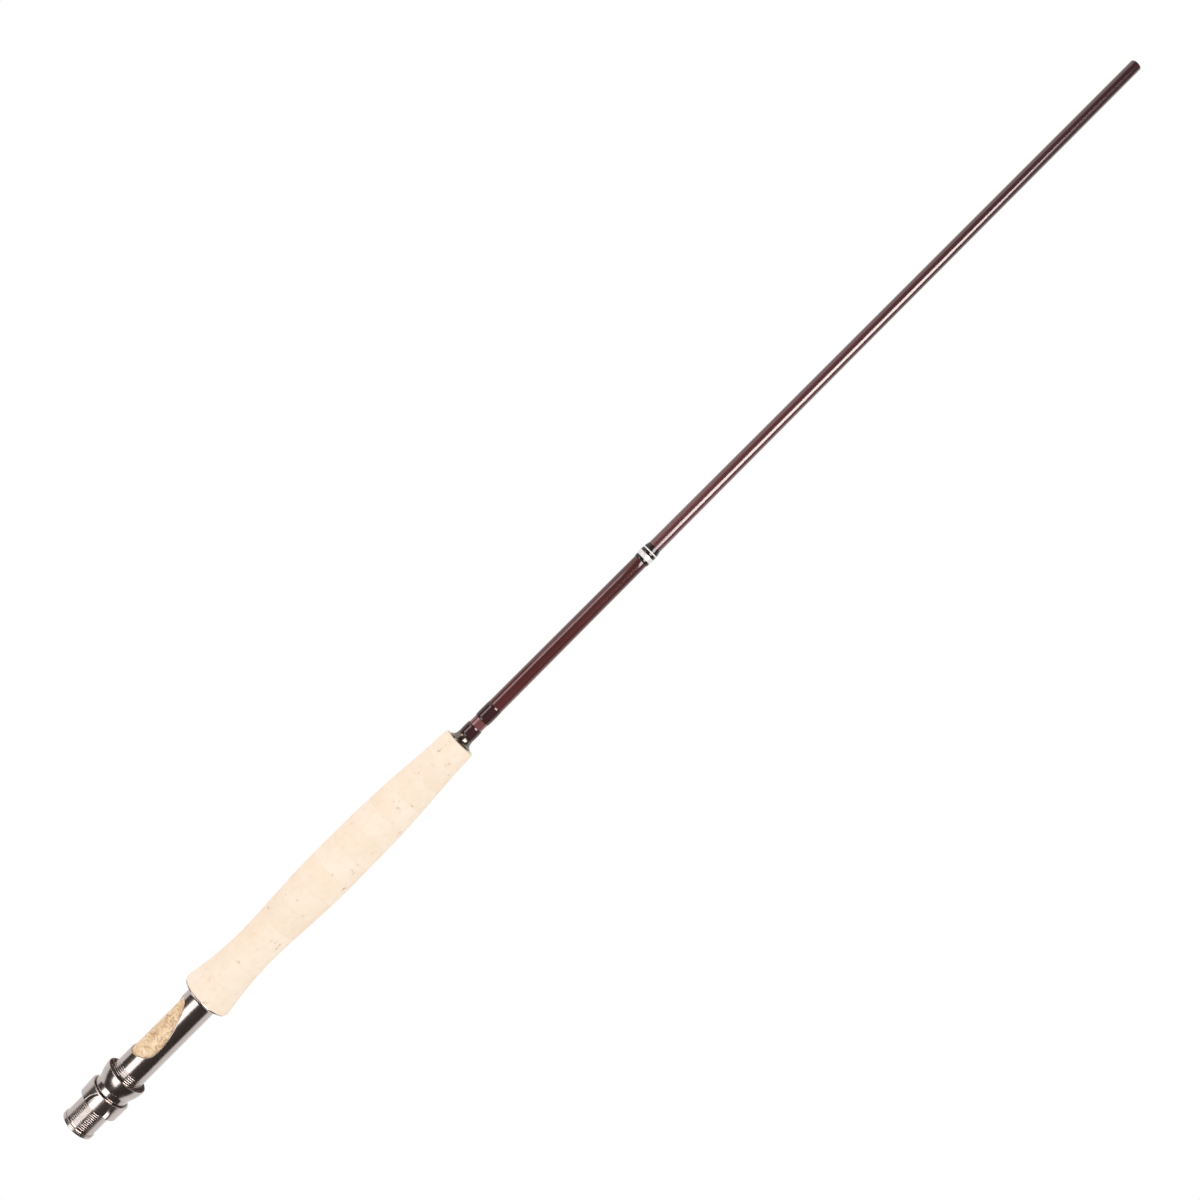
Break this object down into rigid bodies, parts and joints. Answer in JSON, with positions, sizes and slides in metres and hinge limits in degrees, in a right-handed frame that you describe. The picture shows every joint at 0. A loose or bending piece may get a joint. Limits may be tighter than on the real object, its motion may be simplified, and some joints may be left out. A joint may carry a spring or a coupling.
{
  "type": "fly rod butt section",
  "caption": "Butt section of a fly rod: metal reel seat with a lock nut and a sliding hood over a windowed barrel, flared cork grip, and a tapered blank with trim wraps.",
  "frame": {"origin": "centre of the butt cap's flat end face", "axes": "+X along the rod from the butt to the ferrule end; +Z is the side seen in the picture, and the window of the barrel faces between +Y and +Z"},
  "size_m": [0.718, 0.0264, 0.0264],
  "materials": {
    "gunmetal": "polished black nickel plating",
    "burl": "sealed burl",
    "arbor": "bare foam",
    "nylon": "plain",
    "steel": "spring steel",
    "cork": "sanded cork",
    "check": "black anodised",
    "blank": "gloss lacquer over carbon fibre",
    "thread": "thread under clear epoxy",
    "coat": "clear epoxy over the blank",
    "silver": "metallic thread under clear epoxy"
  },
  "bodies": {
    "rod": {"butt_cap": "gunmetal", "seat_barrel": "gunmetal", "seat_insert": "burl", "arbor_1": "arbor", "arbor_2": "arbor", "arbor_3": "arbor", "fixed_hood": "gunmetal", "cork_ring_01": "cork", "cork_ring_02": "cork", "cork_ring_03": "cork", "cork_ring_04": "cork", "cork_ring_05": "cork", "cork_ring_06": "cork", "cork_ring_07": "cork", "cork_ring_08": "cork", "cork_ring_09": "cork", "cork_ring_10": "cork", "cork_ring_11": "cork", "cork_ring_12": "cork", "cork_ring_13": "cork", "cork_ring_14": "cork", "winding_check": "check", "blank": "blank", "wrap_lower": "thread", "wrap_upper": "thread", "label_coat": "coat", "trim_ring_lower": "thread", "trim_band_wide": "silver", "trim_ring_middle": "thread", "trim_band_narrow": "silver", "trim_ring_upper": "thread"},
    "hood_carrier": {"thrust_washer": "nylon", "snap_ring": "steel"},
    "nut": {"lock_nut": "gunmetal"},
    "hood": {"sliding_hood": "gunmetal"}
  },
  "joints": [
    {"name": "hood_slide", "type": "slide", "parent": "rod", "child": "hood_carrier", "axis": [1, 0, 0], "range_m": [-0.01241, 0.01601]},
    {"name": "nut_turn", "type": "hinge", "parent": "hood_carrier", "child": "nut", "pos_m": [0.0186, 0, 0], "axis": [1, 0, 0], "range_deg": [-4464, 5760]},
    {"name": "hood_swivel", "type": "hinge", "parent": "hood_carrier", "child": "hood", "pos_m": [0.03, 0, 0], "axis": [1, 0, 0], "continuous": true}
  ],
  "couplings": [
    {"joint": "hood_slide", "follows": "nut_turn", "m_per_rad": 0.00015915}
  ]
}
